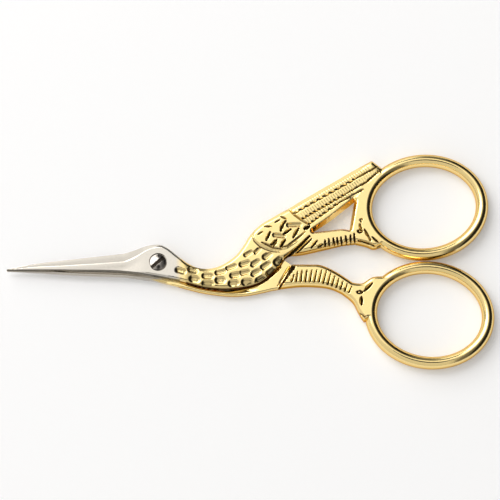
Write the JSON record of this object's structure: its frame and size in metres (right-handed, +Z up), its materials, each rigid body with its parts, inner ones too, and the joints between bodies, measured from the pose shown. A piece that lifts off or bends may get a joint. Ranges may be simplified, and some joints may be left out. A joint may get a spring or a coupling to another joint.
{
  "type": "stork embroidery scissors",
  "caption": "Small embroidery scissors shaped as a stork: nickel-plated pointed blades, gold-plated body, legs and oval finger bows, hinged on a slotted pivot screw.",
  "frame": {"origin": "centre of the closed scissors' bounding box, on the surface that they lie on", "axes": "+X from the blade tips to the finger bows, +Z up from that surface towards the screw head, +Y towards the bow of the half that carries the stork's body"},
  "size_m": [0.089, 0.0404, 0.0031],
  "materials": {
    "nickel_plate": "satin nickel plate on forged steel",
    "gold_plate": "polished gold plate on forged steel",
    "screw_steel": "polished nickel-plated screw steel"
  },
  "bodies": {
    "back_half": {"back_blade": "nickel_plate", "back_body": "gold_plate", "back_leg": "gold_plate", "back_bow": "gold_plate", "pivot_screw": "screw_steel"},
    "front_half": {"front_blade": "nickel_plate", "front_body": "gold_plate", "front_leg": "gold_plate", "front_bow": "gold_plate"}
  },
  "joints": [
    {"name": "pivot", "type": "hinge", "parent": "back_half", "child": "front_half", "pos_m": [-0.01675, -0.00052, 0.0015], "axis": [0, 0, 1], "range_deg": [0, 80]}
  ]
}
